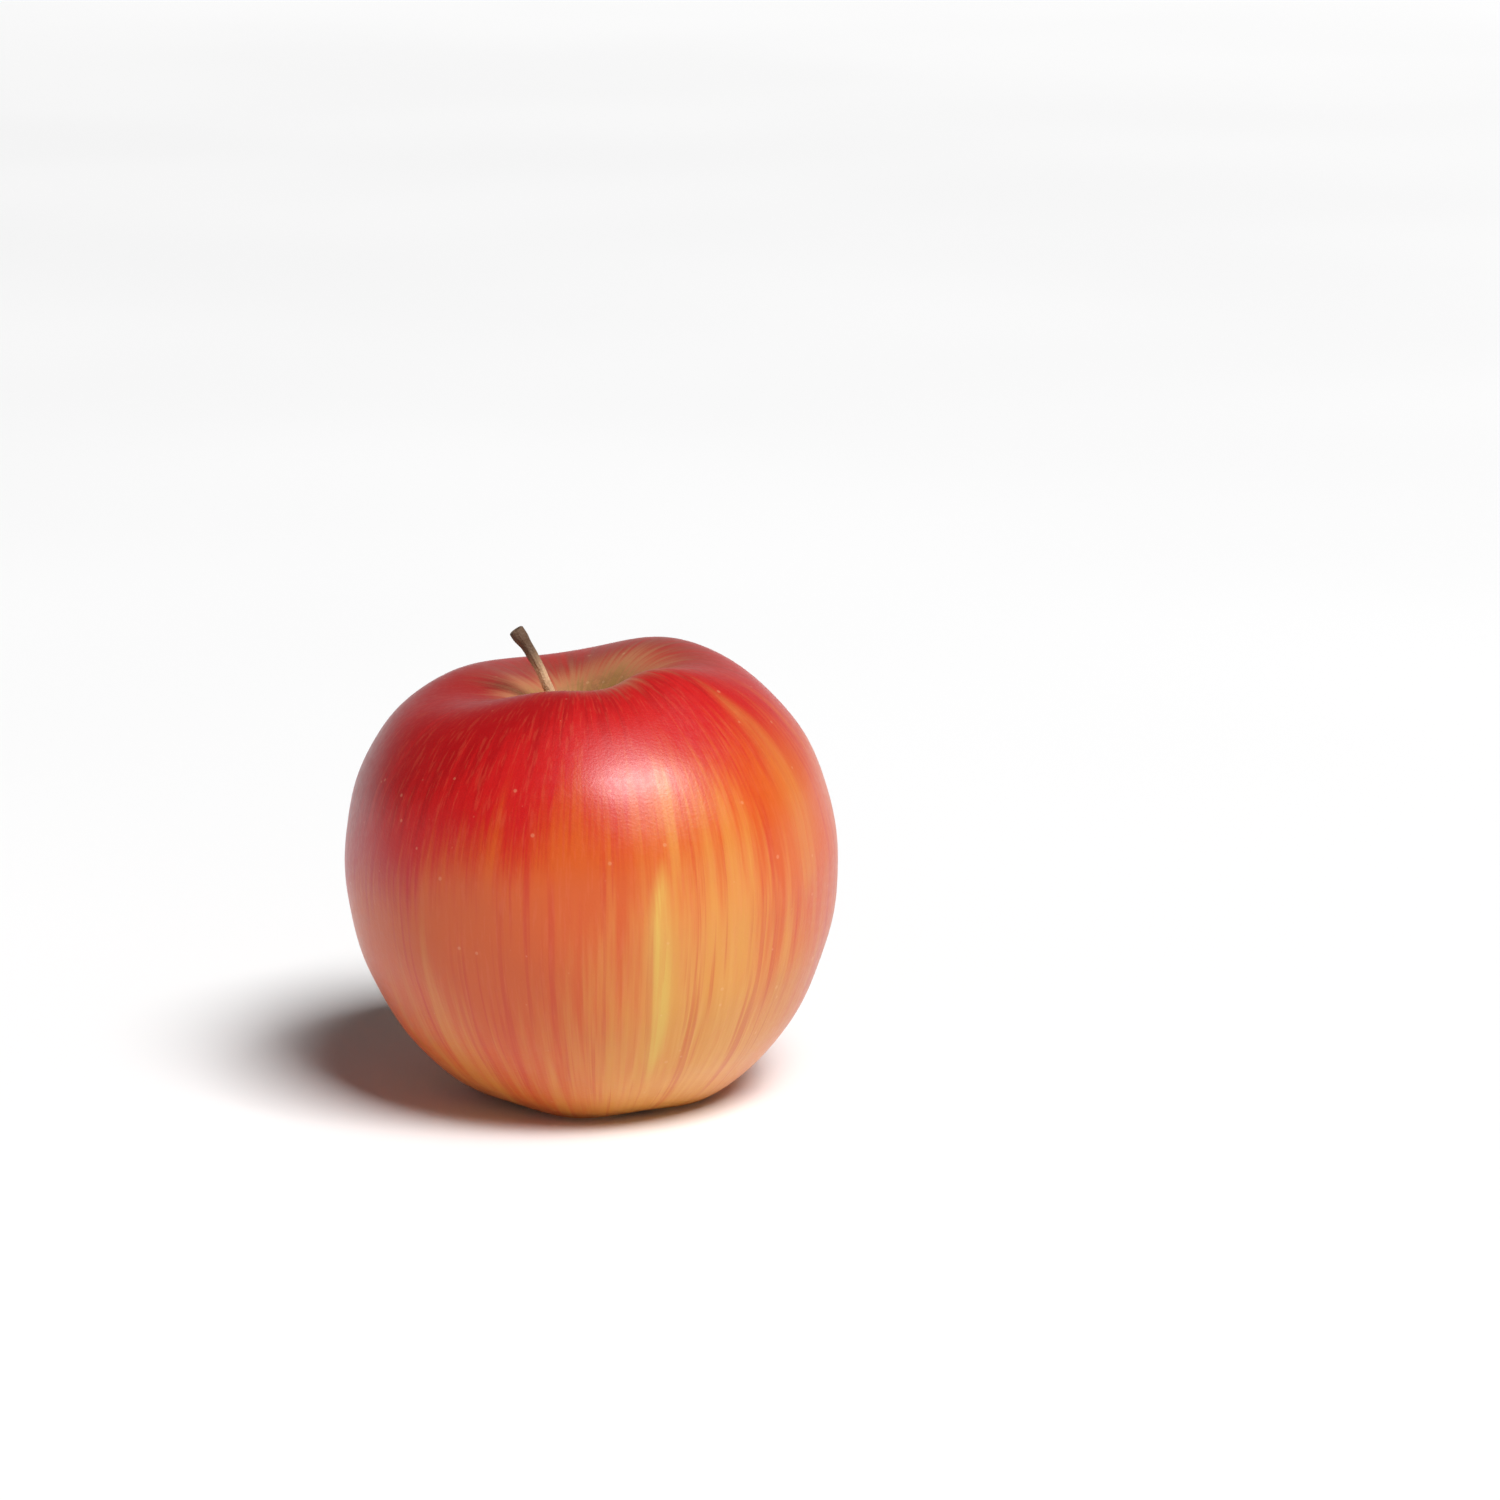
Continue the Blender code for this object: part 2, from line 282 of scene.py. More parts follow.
# %% [markdown]
# ## Where each colour grows
#
# An apple's ground colour is a golden yellow. Red comes only where the sun reached
# the skin, as streaks that run from the stem to the calyx, and they merge into one
# crimson cap on the sunny side. So the masks are worked out on the same grid:
# how far a point faced the sun, with painted shade that turns the upper left flank a
# deeper red, where bare gold shows, the pale stripes where a twig or a leaf lay
# against the fruit, one of them partly a painted sheen on the right shoulder, the
# painted shade and dull painted reflection on the far rim, and how deep a point lies
# in each hollow. The shader adds the fine streaks. `meridian` gives it a place on the
# skin that has no seam: the heading as a cosine and a sine, and the way from stem
# to calyx.

# %% Colour masks on the grid
SUN = np.array([-0.30, 0.24, 0.92])  # towards the sun, while the fruit hung
LEAF_SHADE = (np.radians(98.0), 0.42, 2.2)  # heading, depth and sharpness
# painted shade: the upper left flank, turned from the light, is made a deeper red (heading, depth
# and sharpness)
LEFT_FLANK_SHADE = (np.radians(-162.0), 0.46, 3.4)
# heading in degrees, strength and sharpness
GOLD_PATCHES = ((-63.0, 1.0, 8.0), (-138.0, 0.44, 20.0), (104.0, 0.9, 7.0), (176.0, 0.35, 16.0))
# heading in degrees, height of the top, height of the bottom, width in degrees, strength
PALE_STRIPES = (
    (-75.5, 0.046, 0.008, 2.3, 1.0),
    # partly a painted sheen along the right shoulder, over a real orange-yellow patch
    (-31.0, 0.068, 0.034, 5.0, 0.27),
    (133.0, 0.062, 0.020, 2.0, 0.5),
)

STRIPE_WANDER = np.radians(0.7)
STRIPE_WAVE = 0.0045  # height over which a stripe sways by one radian
FRUIT_MIDDLE = np.array([0.0, 0.0, 0.034])
# painted shade and a dull painted reflection lie on the far rim of the cavity, round this heading
RIM_SHADE_HEADING = np.radians(80.0)  # the far side of the cavity's rim
RIM_SHADE_RADIUS, RIM_SHADE_WIDTH = 0.0155, 0.0055
# seat, width and curve of the two hollows' own colours
CAVITY_TINT, BASIN_TINT = (0.0020, 0.0115, 2.2), (0.0040, 0.0095, 1.8)

facing = skin - FRUIT_MIDDLE
facing /= np.linalg.norm(facing, axis=-1, keepdims=True)
shade_heading, shade_depth, shade_sharpness = LEAF_SHADE
left_shade_heading, left_shade_depth, left_shade_sharpness = LEFT_FLANK_SHADE
shade = shade_depth * ridge(heading, shade_heading, shade_sharpness)
left_shade = left_shade_depth * ridge(heading, left_shade_heading, left_shade_sharpness)
sun_and_painted_shade = facing @ SUN - shade * (0.4 + 0.6 * np.sin(polar))
# painted shade: the upper left flank counts as more sunned, so it comes out a deeper, darker red
sun_and_painted_shade += left_shade * np.clip(facing[..., 2] + 0.1, 0.0, 1.0)

gold = np.zeros_like(polar)
for patch_heading, strength, sharpness in GOLD_PATCHES:
    gold += strength * ridge(heading, np.radians(patch_heading), sharpness)

stripe = np.zeros_like(polar)
for stripe_heading, top, bottom, width, strength in PALE_STRIPES:
    wander = STRIPE_WANDER * np.sin(skin[..., 2] / STRIPE_WAVE)
    off = np.degrees(np.angle(np.exp(1j * (heading - np.radians(stripe_heading) + wander))))
    inside = (top - skin[..., 2]) * (skin[..., 2] - bottom) / ((top - bottom) / 2.0) ** 2
    inside = np.clip(inside, 0.0, 1.0)
    profile = np.exp(-((off / (width * (0.25 + inside))) ** 2))
    stripe += strength * profile * np.clip(2.0 * inside, 0.0, 1.0)

turned = RADIUS * np.sin(polar)
# painted shade on the far rim: a band at the rim's radius, on the cavity's far side
rim_shade = np.exp(-(((turned - RIM_SHADE_RADIUS) / RIM_SHADE_WIDTH) ** 2)) * (polar < np.pi / 2)
rim_shade *= np.clip(0.35 + np.cos(heading - RIM_SHADE_HEADING), 0.0, 1.0)
in_cavity = hollow(turned, *CAVITY_TINT) * (polar < np.pi / 2)
in_basin = hollow(turned, *BASIN_TINT) * (polar > np.pi / 2)
meridian = np.stack([np.cos(heading), np.sin(heading), row / (ROWS - 1)], -1)

fruit = closed_piece(
    "apple_skin",
    [skin],
    {
        "meridian": [meridian],
        "sun_and_painted_shade": [sun_and_painted_shade[..., None]],
        "gold": [gold[..., None]],
        "stripe": [stripe[..., None]],
        "rim_shade": [rim_shade[..., None]],
        "cavity": [in_cavity[..., None]],
        "basin": [in_basin[..., None]],
    },
)
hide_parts("fruit")

# %% [markdown]
# ## The stem
#
# The stem is a dry twig about as thick as a matchstick. It flares where it leaves
# the flesh and ends in a knob with a dished scar, where it parted from the tree. It
# could be a bevelled curve, but a curve is evenly round. Carrying a lumpy outline
# along a path as a grid gives the ridges, the swelling and the scar in one surface.
# The frame that carries the outline is square to the path at every step.

# %% Carry an outline along a path
def carried(path, radius, columns, ridges):
    """Rings round a path: path + radius (1 + ridge waves) (cos a side + sin a normal)."""
    depthwise = np.array([0.0, 1.0, 0.0])
    tangent = np.gradient(path, axis=0)
    tangent /= np.linalg.norm(tangent, axis=1, keepdims=True)
    side = depthwise - tangent * (tangent @ depthwise)[:, None]
    side /= np.linalg.norm(side, axis=1, keepdims=True)
    normal = np.cross(tangent, side)
    angle = 2.0 * np.pi * np.arange(columns) / columns
    along = np.linspace(0.0, 1.0, len(path))[:, None]
    waves = np.sin(5.0 * angle + 6.0 * along)
    waves += 0.6 * np.sin(9.0 * angle - 11.0 * along + 1.0)
    waves += 0.8 * np.sin(31.0 * along) * np.cos(angle + 1.0)
    reach = (radius[:, None] * (1.0 + ridges * waves))[..., None]
    cosine, sine = np.cos(angle)[None, :, None], np.sin(angle)[None, :, None]
    ring = cosine * side[:, None] + sine * normal[:, None]
    return path[:, None] + reach * ring


def grain_of(grid):
    """For each point of a carried outline: cosine and sine of its angle, and its way along."""
    rows, columns = grid.shape[:2]
    along, angle = np.meshgrid(
        np.linspace(0.0, 1.0, rows), 2.0 * np.pi * np.arange(columns) / columns, indexing="ij"
    )
    return np.stack([np.cos(angle), np.sin(angle), along], -1)


# %% Grow the stem
stem_low, stem_high = (np.array(corner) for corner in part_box("stem"))
STEM_HEADING = np.radians(178.0)
STEM_STEPS, SCAR_STEPS, STEM_COLUMNS = 90, 8, 40
STEM_RADIUS = 0.0008
STEM_KNOB_RADIUS = 0.0012
STEM_FLARE = 0.0009  # how much wider the root is
TIP_ROOM = 0.0004  # under the box's top, for the knob's tilted edge
LEAN_ROOM = 0.0020  # inside the box's side, for the knob's radius and tilt
ROOT_SINK = 0.0002  # into the flesh

floor_of_cavity = skin[0].mean(0)
rise = stem_high[2] - floor_of_cavity[2] - TIP_ROOM
reach = floor_of_cavity[0] - stem_low[0] - LEAN_ROOM
along = np.linspace(0.0, 1.0, STEM_STEPS)
out = reach * along**1.02 + 0.0004 * np.sin(2.0 * np.pi * along)
sway = 0.0003 * np.sin(5.0 * along)
stem_path = np.stack(
    [out * np.cos(STEM_HEADING), out * np.sin(STEM_HEADING) + sway, rise * along], -1
)
stem_path += floor_of_cavity - (0.0, 0.0, ROOT_SINK)
unevenness = 0.04 * np.sin(17.0 * along) + 0.05 * np.sin(7.0 * along + 2.0)
thickness = STEM_RADIUS * (1.0 + unevenness)
thickness += STEM_FLARE * np.exp(-along / 0.05)
thickness += (STEM_KNOB_RADIUS - STEM_RADIUS) / (1.0 + np.exp(-(along - 0.91) / 0.018))

# the scar: the last rows turn in over the knob's edge and sink towards its middle
scar = np.linspace(0.0, 1.0, SCAR_STEPS + 1)[1:]
direction = (stem_path[-1] - stem_path[-4]) / np.linalg.norm(stem_path[-1] - stem_path[-4])
scar_depth = 0.00022 * np.sin(np.pi * np.minimum(scar * 1.6, 1.0)) - 0.00030 * scar**2
scar_path = stem_path[-1] + scar_depth[:, None] * direction
rings = carried(stem_path, thickness, columns=STEM_COLUMNS, ridges=0.035)
rim = rings[-1] - stem_path[-1]
scar_rings = scar_path[:, None] + (1.0 - scar)[:, None, None] * rim
root = rings[:1] * 0.0 + stem_path[0]
stem_rings = np.concatenate([root, rings, scar_rings])

stem = closed_piece("stem_wood", [stem_rings], {"grain": [grain_of(stem_rings)]})
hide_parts("stem")
print(f"the stem rises {1000 * rise:.1f} mm and leans out {1000 * reach:.1f} mm")

# %% [markdown]
# ## The calyx
#
# Under the fruit the flower's remains are still there: five dry sepals that close
# like a small crown, and within them a disc with the withered stamens. They could be
# flat leaves with a Solidify modifier, but a thin leaf dries unevenly. Here each
# sepal is an outline that narrows towards its tip, leans in and buckles, so its
# thickness, its fold and its wrinkles come out of one formula.

# %% Grow the sepals
stamens_low, stamens_high = (np.array(corner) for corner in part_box("dried_stamens"))
calyx = (stamens_low + stamens_high) / 2.0
SEPAL_COUNT = 5
SEPAL_RING_RADIUS = 0.0036
SEPAL_WIDTH = 0.75 * 2.0 * np.pi * SEPAL_RING_RADIUS / SEPAL_COUNT  # three quarters of its share
SEPAL_THICKNESS = 0.00048
SEPAL_CURL = 0.0016
SEPAL_ROOT = 0.0006  # how far the base runs on into the flesh
SEPAL_ROWS, SEPAL_COLUMNS = 44, 30
LENGTH_STAGGER, CURL_STAGGER = 0.0002, 0.00015  # so that no two sepals are alike


def sepal(turn, top, length, curl, phase):
    """A closed blade, an outline (cos u, sin u) that narrows by 1 - 0.8 v down its length.

    It leans in by curl sin(3/4 pi v), its sides fold in by the square of cos u, and
    waves in v and u buckle it.
    """
    turns = 2.0 * np.pi * np.arange(SEPAL_COLUMNS) / SEPAL_COLUMNS
    v, u = np.meshgrid(np.linspace(0.0, 1.0, SEPAL_ROWS), turns, indexing="ij")
    v = 0.5 - 0.5 * np.cos(np.pi * v)
    ends = np.sqrt(np.clip(1.0 - (2.0 * v - 1.0) ** 12, 0.0, 1.0))
    half = 0.5 * SEPAL_WIDTH * (1.0 - 0.8 * v) * ends
    thick = 0.5 * SEPAL_THICKNESS * (1.0 - 0.3 * v) * ends
    side = np.cos(u)
    buckle = 0.00013 * v * np.sin(7.0 * v + 2.2 * side + phase)
    buckle += 0.00004 * np.sin(9.0 * side + 5.0 * v)
    x = SEPAL_RING_RADIUS - curl * np.sin(0.75 * np.pi * v) - 0.075 * SEPAL_WIDTH * side**2
    x += thick * np.sin(u) + buckle
    y = half * side + 0.0003 * v * np.sin(2.0 * v + phase)
    z = top - length * v + 0.00012 * np.sin(3.0 * side + phase) * v
    cos_turn, sin_turn = np.cos(turn), np.sin(turn)
    return np.stack([x * cos_turn - y * sin_turn, x * sin_turn + y * cos_turn, z], -1)


for number in range(SEPAL_COUNT):
    node_name = f"sepal_{number + 1}"
    sepal_low, sepal_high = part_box(node_name)
    blade = sepal(
        turn=2.0 * np.pi * number / SEPAL_COUNT,
        top=sepal_high.z + SEPAL_ROOT,
        length=sepal_high.z + SEPAL_ROOT - sepal_low.z - LENGTH_STAGGER * (number % 3),
        curl=SEPAL_CURL - CURL_STAGGER * (number % 2),
        phase=1.7 * number,
    )
    blade[..., :2] += calyx[:2]
    piece = closed_piece(f"dry_sepal_{number + 1}", [blade], {"grain": [grain_of(blade)]})
    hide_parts(node_name)

# %% [markdown]
# The stamens stand on a small disc. Each is a thread with a swollen end, the dry
# anther, so one formula for a thread serves them all, and the styles in the middle
# are the same thread without the swelling.

# %% Grow the stamens
STAMEN_COUNT = 10
STYLE_COUNT = 3
DISC_RADIUS = (stamens_high[0] - stamens_low[0]) / 2.0
DISC_THICKNESS = 0.0005
DISC_DIMPLE, DIMPLE_WIDTH = 0.0002, 0.0009
DISC_ROWS, DISC_COLUMNS = 19, 60
THREAD_RADIUS = 0.00010
ANTHER_SWELL = 0.00017
THREAD_BOW = 0.00022
THREAD_STEPS = 26
GOLDEN_ANGLE = 2.399  # between one thread and the next, so that no two line up
THREAD_TWIST = 0.3
STYLE_FOOT, STYLE_TIP = 0.0003, 0.0002  # distances from the middle of the disc
STAMEN_FOOT, STAMEN_TIP = 0.0013, 0.0006
FOOT_STAGGER, TIP_STAGGER, FALL_STAGGER = 0.0002, 0.00025, 0.0004


def thread(foot, tip, bow, anther):
    """A tube from foot to tip, bowed by a sine, with a swelling near its end."""
    v = 0.5 - 0.5 * np.cos(np.pi * np.linspace(0.0, 1.0, THREAD_STEPS))
    path = foot + v[:, None] * (tip - foot) + np.sin(np.pi * v)[:, None] * bow
    ends = np.sqrt(np.clip(1.0 - (2.0 * v - 1.0) ** 10, 0.0, 1.0))
    radius = (THREAD_RADIUS + anther * np.exp(-(((v - 0.88) / 0.09) ** 2))) * ends
    return carried(path, radius, columns=10, ridges=0.08)


turns = 2.0 * np.pi * np.arange(DISC_COLUMNS) / DISC_COLUMNS
p, around = np.meshgrid(np.linspace(0.0, np.pi, DISC_ROWS), turns, indexing="ij")
disc_reach = DISC_RADIUS * np.sqrt(np.sin(p)) * (0.97 + 0.03 * np.cos(5.0 * around))
disc_height = stamens_high[2] - DISC_THICKNESS / 2.0 + 0.5 * DISC_THICKNESS * np.cos(p)
disc_height -= DISC_DIMPLE * np.exp(-((disc_reach / DIMPLE_WIDTH) ** 2)) * (p > np.pi / 2)
disc = np.stack([disc_reach * np.cos(around), disc_reach * np.sin(around), disc_height], -1)
disc[..., :2] += calyx[:2]

threads = []
for number in range(STAMEN_COUNT + STYLE_COUNT):
    is_style = number >= STAMEN_COUNT
    turn = GOLDEN_ANGLE * number
    twisted = turn + THREAD_TWIST
    start = STYLE_FOOT if is_style else STAMEN_FOOT + FOOT_STAGGER * (number % 3)
    end = STYLE_TIP if is_style else STAMEN_TIP + TIP_STAGGER * (number % 2)
    fall = 0.0 if is_style else FALL_STAGGER * (number % 3)
    foot = np.array([start * np.cos(turn), start * np.sin(turn), stamens_high[2] - DISC_THICKNESS])
    tip = np.array([end * np.cos(twisted), end * np.sin(twisted), stamens_low[2] + fall])
    foot[:2] += calyx[:2]
    tip[:2] += calyx[:2]
    bow = THREAD_BOW * np.array([np.sin(turn), -np.cos(turn), 0.0])
    threads.append(thread(foot, tip, bow, 0.0 if is_style else ANTHER_SWELL))

stamens = closed_piece(
    "dry_stamens", [disc, *threads], {"grain": [grain_of(grid) for grid in (disc, *threads)]}
)
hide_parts("dried_stamens")

# %% [markdown]
# ## Materials
#
# A material is a small factory of nodes. Two helpers keep it readable: one adds a
# node with its inputs, and one mixes two colours. Then come the effects that more
# than one material uses, each as a node group. They give out only values: the
# shader that turns those into a surface stays in each material.

# %% Helpers for nodes
def add_node(tree, kind, inputs=None, **settings):
    """A shader node, with each input set to a value or joined to another node's output."""
    made = tree.nodes.new("ShaderNode" + kind)
    for name, value in settings.items():
        setattr(made, name, value)
    for socket, value in (inputs or {}).items():
        if isinstance(value, bpy.types.NodeSocket):
            tree.links.new(value, made.inputs[socket])
        else:
            made.inputs[socket].default_value = value
    return made


def math(tree, operation, *values, clamp=False):
    """One step of arithmetic on numbers or outputs."""
    made = add_node(tree, "Math", dict(enumerate(values)), operation=operation, use_clamp=clamp)
    return made.outputs[0]


def ramp(tree, value, start, end, low=0.0, high=1.0):
    """A smooth step from low to high as the value goes from start to end."""
    inputs = {0: value, 1: start, 2: end, 3: low, 4: high}
    return add_node(tree, "MapRange", inputs, interpolation_type="SMOOTHSTEP").outputs[0]


def mixed(tree, share, first, second):
    """The first colour, with this share of the second laid over it."""
    first, second = ((*c, 1.0) if isinstance(c, tuple) else c for c in (first, second))
    inputs = {0: share, 6: first, 7: second}
    return add_node(tree, "Mix", inputs, data_type="RGBA").outputs[2]


def carried_value(tree, name, output="Fac"):
    """A value that the mesh carries at its points."""
    return add_node(tree, "Attribute", attribute_name=name).outputs[output]


def new_group(name, sockets):
    """An empty node group with its inputs, each (name, type, value), and one value out."""
    tree = bpy.data.node_groups.new(name, "ShaderNodeTree")
    for socket, kind, value in sockets:
        made = tree.interface.new_socket(socket, in_out="INPUT", socket_type=kind)
        if value is not None:
            made.default_value = value
    tree.interface.new_socket("Value", in_out="OUTPUT", socket_type="NodeSocketFloat")
    return tree, tree.nodes.new("NodeGroupInput").outputs, tree.nodes.new("NodeGroupOutput").inputs


def placed(tree, group, **inputs):
    """The value that a group gives with these inputs."""
    made = tree.nodes.new("ShaderNodeGroup")
    made.node_tree = group
    for socket, value in inputs.items():
        socket = made.inputs[socket.capitalize()]
        if isinstance(value, bpy.types.NodeSocket):
            tree.links.new(value, socket)
        else:
            socket.default_value = value
    return made.outputs[0]


# %% [markdown]
# The streaks follow the skin. Noise is stretched on coordinates that run round the
# fruit and down it, so the streaks narrow towards both ends with no seam. The bark's
# fibres on the stem and the veins of the sepals are the same effect, at other sizes.

# %% The streaks
streaks, given, out = new_group(
    "streaks",
    [
        ("Place", "NodeSocketVector", None),
        ("Across", "NodeSocketFloat", 20.0),
        ("Along", "NodeSocketFloat", 6.0),
        ("Start", "NodeSocketFloat", 0.0),
    ],
)
split = add_node(streaks, "SeparateXYZ", {0: given["Place"]}).outputs
down = math(streaks, "MULTIPLY_ADD", split[2], given["Along"], given["Start"])
spread = add_node(
    streaks,
    "CombineXYZ",
    {
        0: math(streaks, "MULTIPLY", split[0], given["Across"]),
        1: math(streaks, "MULTIPLY", split[1], given["Across"]),
        2: down,
    },
).outputs[0]
texture = {"Vector": spread, "Scale": 1.0, "Detail": 3.0, "Roughness": 0.6}
noise = add_node(streaks, "TexNoise", texture)
streaks.links.new(ramp(streaks, noise.outputs[0], 0.28, 0.72), out[0])

# %% The grain
grain, given, out = new_group(
    "grain", [("Size", "NodeSocketFloat", 0.001), ("Detail", "NodeSocketFloat", 4.0)]
)
here = add_node(grain, "TexCoord").outputs["Object"]
scale = math(grain, "DIVIDE", 1.0, given["Size"])
noise = add_node(grain, "TexNoise", {"Vector": here, "Scale": scale, "Detail": given["Detail"]})
grain.links.new(ramp(grain, noise.outputs[0], 0.25, 0.75), out[0])

# %% The lenticels
spots, given, out = new_group(
    "spots", [("Spacing", "NodeSocketFloat", 0.004), ("Radius", "NodeSocketFloat", 0.1)]
)
here = add_node(spots, "TexCoord").outputs["Object"]
scale = math(spots, "DIVIDE", 1.0, given["Spacing"])
cells = add_node(spots, "TexVoronoi", {"Vector": here, "Scale": scale, "Randomness": 1.0})
chance = add_node(spots, "SeparateXYZ", {0: cells.outputs["Color"]}).outputs
size = math(spots, "MULTIPLY", given["Radius"], chance[0])
depth = math(spots, "SUBTRACT", size, cells.outputs["Distance"])
spots.links.new(ramp(spots, depth, 0.0, 0.06), out[0])
print("node groups:", [group.name for group in bpy.data.node_groups])

# %% [markdown]
# ## The skin's finish
#
# Skin has a golden ground colour, and red lies over it like a wash: a soft veil of
# orange-red almost everywhere, then streaks of coral, then solid crimson where the
# sun struck. Laying the colours down in that order, each with its own mask, keeps
# the ground shining through between the streaks, as it does on the fruit.

# %% Colours of the skin
GOLDEN = (0.69, 0.285, 0.05)
PALE_GOLD = (0.75, 0.39, 0.09)
PALE_YELLOW = (0.71, 0.47, 0.09)
# painted shade and dull painted reflection, laid on the far rim of the cavity
RIM_SHADE_ROSE = (0.31, 0.070, 0.045)
ROSY_TAN = (0.52, 0.22, 0.10)
OLIVE = (0.32, 0.185, 0.05)
ORANGE_RED = (0.63, 0.095, 0.010)
CORAL = (0.72, 0.16, 0.07)
CRIMSON = (0.55, 0.008, 0.008)
DEEP_RED = (0.36, 0.002, 0.004)
RUSSET = (0.28, 0.13, 0.05)
LENTICEL = (0.85, 0.50, 0.28)

# %% The skin material
def new_material(name, **settings):
    """A material with one Principled shader, whose plain numbers are set on its own sockets."""
    material = bpy.data.materials.new(name)
    material.use_nodes = True
    tree = material.node_tree
    shader = tree.nodes["Principled BSDF"]
    for socket, value in settings.items():
        shader.inputs[socket.replace("_", " ")].default_value = value
    return material, tree, shader.inputs


apple_skin, tree, surface = new_material(
    "apple_skin", IOR=1.45, Coat_Roughness=0.33, Coat_IOR=1.42
)
place = carried_value(tree, "meridian", "Vector")
broad = placed(tree, streaks, place=place, across=5.0, along=3.0, start=2.0)
medium = placed(tree, streaks, place=place, across=16.0, along=5.0, start=5.0)
fine = placed(tree, streaks, place=place, across=48.0, along=10.0)

# how far the skin faced the sun, with the painted shade of the upper left flank added in
warmth_and_shade = carried_value(tree, "sun_and_painted_shade")
for streak, weight in ((broad, 0.14), (medium, 0.16), (fine, 0.16)):
    warmth_and_shade = math(tree, "MULTIPLY_ADD", math(tree, "SUBTRACT", streak, 0.5), weight, warmth_and_shade)
bare = math(tree, "MULTIPLY", carried_value(tree, "gold"), -0.85)
veil = math(tree, "ADD", math(tree, "MULTIPLY_ADD", warmth_and_shade, 0.9, 0.75), bare)
veil = math(tree, "MULTIPLY_ADD", math(tree, "SUBTRACT", medium, 0.5), 0.35, veil)

ground = mixed(tree, ramp(tree, medium, 0.2, 0.9, 0.0, 0.6), GOLDEN, PALE_GOLD)
colour = mixed(tree, ramp(tree, veil, -0.7, 0.35), ground, ORANGE_RED)
colour = mixed(tree, ramp(tree, warmth_and_shade, 0.02, 0.50), colour, CRIMSON)
# on the upper left flank this deep red is partly painted shade
colour = mixed(tree, ramp(tree, warmth_and_shade, 0.50, 0.85, 0.0, 0.8), colour, DEEP_RED)
strands = placed(tree, streaks, place=place, across=30.0, along=4.0, start=15.0)
strands = math(tree, "MULTIPLY", ramp(tree, strands, 0.58, 1.0), ramp(tree, broad, 0.1, 0.8))
colour = mixed(tree, math(tree, "MULTIPLY", strands, 0.42), colour, CRIMSON)
flecks = placed(tree, streaks, place=place, across=62.0, along=34.0, start=9.0)
colour = mixed(tree, ramp(tree, flecks, 0.62, 0.95, 0.0, 0.13), colour, CORAL)
# pale stripes; the one on the right shoulder is partly a painted sheen
stripes_and_sheen = math(tree, "MULTIPLY", carried_value(tree, "stripe"), ramp(tree, fine, 0.0, 0.7, 0.45, 0.85))
colour = mixed(tree, stripes_and_sheen, colour, PALE_YELLOW)

# painted shade and a dull painted reflection darken the far rim of the cavity
rim_shade_share = ramp(tree, medium, 0.0, 1.0, 0.45, 0.85)
rim_shade_share = math(tree, "MULTIPLY", carried_value(tree, "rim_shade"), rim_shade_share)
colour = mixed(tree, rim_shade_share, colour, RIM_SHADE_ROSE)

hollows = math(tree, "MAXIMUM", carried_value(tree, "cavity"), carried_value(tree, "basin"))
frayed = math(tree, "MULTIPLY_ADD", math(tree, "SUBTRACT", medium, 0.5), 0.22, hollows)
frayed = math(tree, "MULTIPLY_ADD", math(tree, "SUBTRACT", fine, 0.5), 0.08, frayed)
colour = mixed(tree, ramp(tree, frayed, 0.18, 0.80, 0.0, 0.9), colour, ROSY_TAN)
colour = mixed(tree, ramp(tree, frayed, 0.60, 1.0, 0.0, 0.9), colour, OLIVE)
speckle = placed(tree, grain, size=0.0011, detail=3.0)
russet = ramp(tree, speckle, 0.4, 0.7, 0.15, 0.8)
russet = math(tree, "MULTIPLY", ramp(tree, hollows, 0.6, 1.0), russet)
colour = mixed(tree, russet, colour, RUSSET)

dots = placed(tree, spots, spacing=0.0028, radius=0.15)
colour = mixed(tree, math(tree, "MULTIPLY", dots, 0.20), colour, LENTICEL)
tree.links.new(colour, surface["Base Color"])

dullness = math(tree, "MULTIPLY_ADD", hollows, 0.22, ramp(tree, speckle, 0.0, 1.0, 0.34, 0.40))
tree.links.new(dullness, surface["Roughness"])
tree.links.new(ramp(tree, hollows, 0.0, 0.6, 0.3, 0.0), surface["Coat Weight"])
pores = placed(tree, grain, size=0.00045, detail=2.0)
height = math(tree, "MULTIPLY_ADD", dots, 0.8, pores)
bump = add_node(tree, "Bump", {"Strength": 0.12, "Distance": 0.0001, "Height": height})
tree.links.new(bump.outputs[0], surface["Normal"])
fruit.data.materials.append(apple_skin)

# %% [markdown]
# ## Wood and husk
#
# The stem is dry bark: tan, with brown patches, dark brown where it has died
# back, and fibres along it. The sepals and stamens are drier and duller still, and
# a fine felt covers them. Both take the streaks and the grain at their own size.

# %% The stem's bark
BARK_TAN = (0.90, 0.58, 0.34)
BARK_BROWN = (0.24, 0.10, 0.045)
SCAR_BROWN = (0.07, 0.032, 0.016)

bark, tree, surface = new_material("stem_bark")
place = carried_value(tree, "grain", "Vector")
fibre = placed(tree, streaks, place=place, across=3.2, along=7.0)
patch = placed(tree, grain, size=0.0024, detail=3.0)
weathered = math(tree, "MULTIPLY", math(tree, "MULTIPLY", fibre, patch), 0.6)
colour = mixed(tree, weathered, BARK_TAN, BARK_BROWN)
up_the_stem = add_node(tree, "SeparateXYZ", {0: place}).outputs[2]
colour = mixed(tree, ramp(tree, up_the_stem, 0.52, 0.80, 0.0, 0.92), colour, SCAR_BROWN)
tree.links.new(colour, surface["Base Color"])
tree.links.new(ramp(tree, patch, 0.0, 1.0, 0.55, 0.8), surface["Roughness"])
rough = math(tree, "MULTIPLY_ADD", fibre, 0.7, placed(tree, grain, size=0.0003, detail=4.0))
